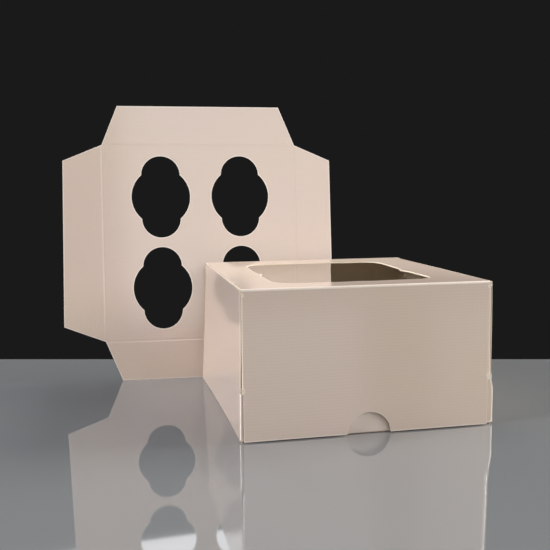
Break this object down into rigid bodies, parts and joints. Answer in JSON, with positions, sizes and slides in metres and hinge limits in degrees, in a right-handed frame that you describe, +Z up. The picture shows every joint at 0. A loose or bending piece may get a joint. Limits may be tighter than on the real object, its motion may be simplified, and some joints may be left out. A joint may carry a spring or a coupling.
{
  "type": "cupcake box",
  "caption": "Folding carton with a windowed hinged lid, a tuck-in front flap with a thumb notch, and a flat die-cut tray with cup holes standing behind it.",
  "frame": {"origin": "centre of the carton's underside, on the surface it stands on", "axes": "+X to the right along the front, +Y to the back, +Z up"},
  "size_m": [0.27, 0.1959, 0.2163],
  "materials": {
    "coated_board": "pearl satin coated board, cream with a fine laid grain",
    "clear_film": "clear glossy plastic film"
  },
  "bodies": {
    "base": {"carton_base": "coated_board", "cup_tray": "coated_board"},
    "lid": {"lid_panel": "coated_board", "window_film": "clear_film"},
    "flap": {"front_flap": "coated_board"}
  },
  "joints": [
    {"name": "lid_hinge", "type": "hinge", "parent": "base", "child": "lid", "pos_m": [0, 0.07975, 0.09275], "axis": [-1, 0, 0], "range_deg": [0, 100]},
    {"name": "front_flap_hinge", "type": "hinge", "parent": "lid", "child": "flap", "pos_m": [0, -0.07975, 0.09275], "axis": [-1, 0, 0], "range_deg": [0, 90]}
  ]
}
